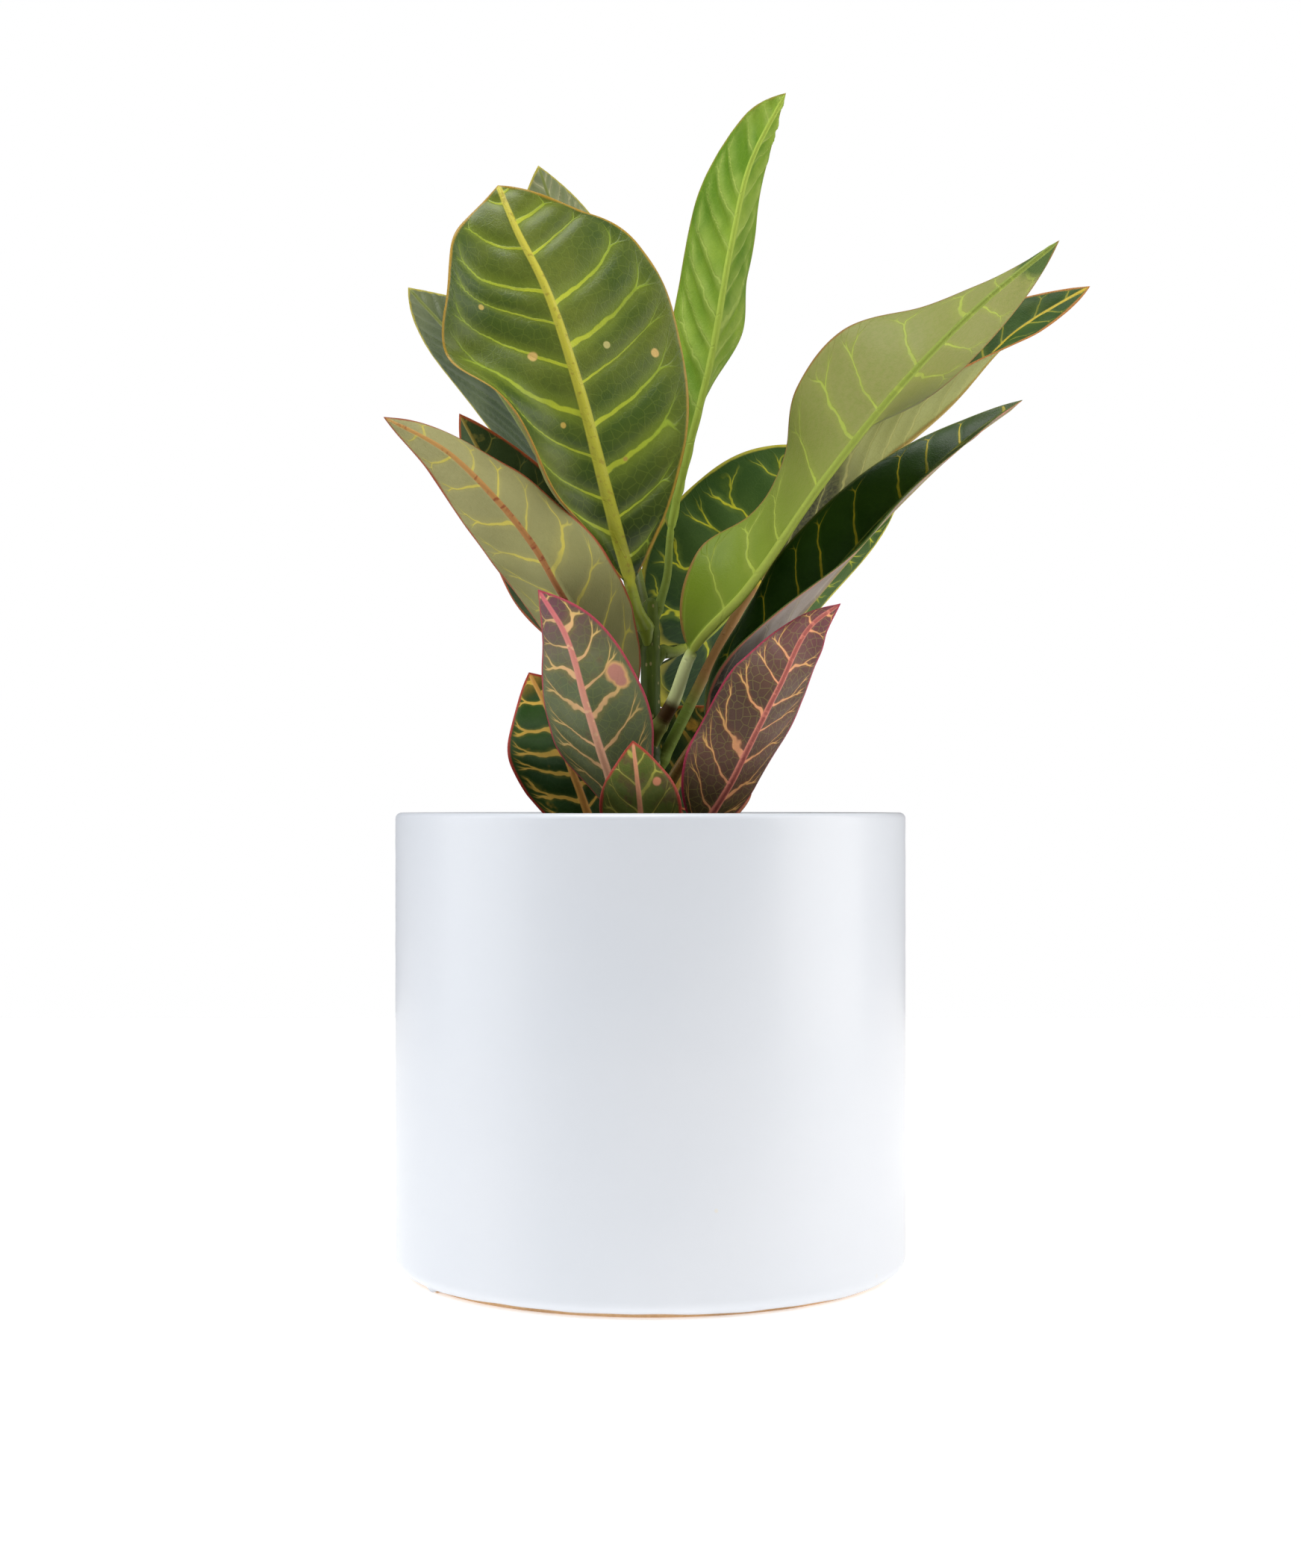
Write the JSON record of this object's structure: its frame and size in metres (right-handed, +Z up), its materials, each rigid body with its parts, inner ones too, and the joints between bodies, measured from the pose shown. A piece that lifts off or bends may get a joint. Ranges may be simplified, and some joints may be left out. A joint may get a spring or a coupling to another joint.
{
  "type": "potted croton",
  "caption": "Young croton with broad waved leaves in several colours on one upright stem, growing in a plain round white glazed pot.",
  "frame": {"origin": "centre of the pot's flat foot, on the surface that it stands on", "axes": "+Z up along the stem, -Y towards the viewer of the picture, +X to that viewer's right"},
  "size_m": [0.1922, 0.14, 0.324],
  "materials": {
    "white_glaze": "satin",
    "potting_mix": "matte",
    "stem": "satin",
    "leaf_young_green": "satin",
    "leaf_grey_green": "satin",
    "leaf_yellow_veined": "satin",
    "leaf_dark_green": "satin",
    "leaf_maroon": "satin"
  },
  "bodies": {
    "root": {"pot": "white_glaze", "soil": "potting_mix", "stem": "stem", "leaf_tall_centre": "leaf_young_green", "leaf_broad_front": "leaf_yellow_veined", "leaf_back_upright": "leaf_dark_green", "leaf_back_left": "leaf_dark_green", "leaf_broad_back": "leaf_dark_green", "leaf_broad_right": "leaf_young_green", "leaf_long_right": "leaf_dark_green", "leaf_narrow_right": "leaf_dark_green", "leaf_pale_left": "leaf_grey_green", "leaf_dark_left": "leaf_dark_green", "leaf_spotted_back": "leaf_dark_green", "leaf_low_left_front": "leaf_maroon", "leaf_low_right_front": "leaf_maroon", "leaf_small_front": "leaf_maroon", "leaf_low_left": "leaf_dark_green", "leaf_low_back_left": "leaf_dark_green", "leaf_low_back_right": "leaf_dark_green"}
  },
  "joints": []
}
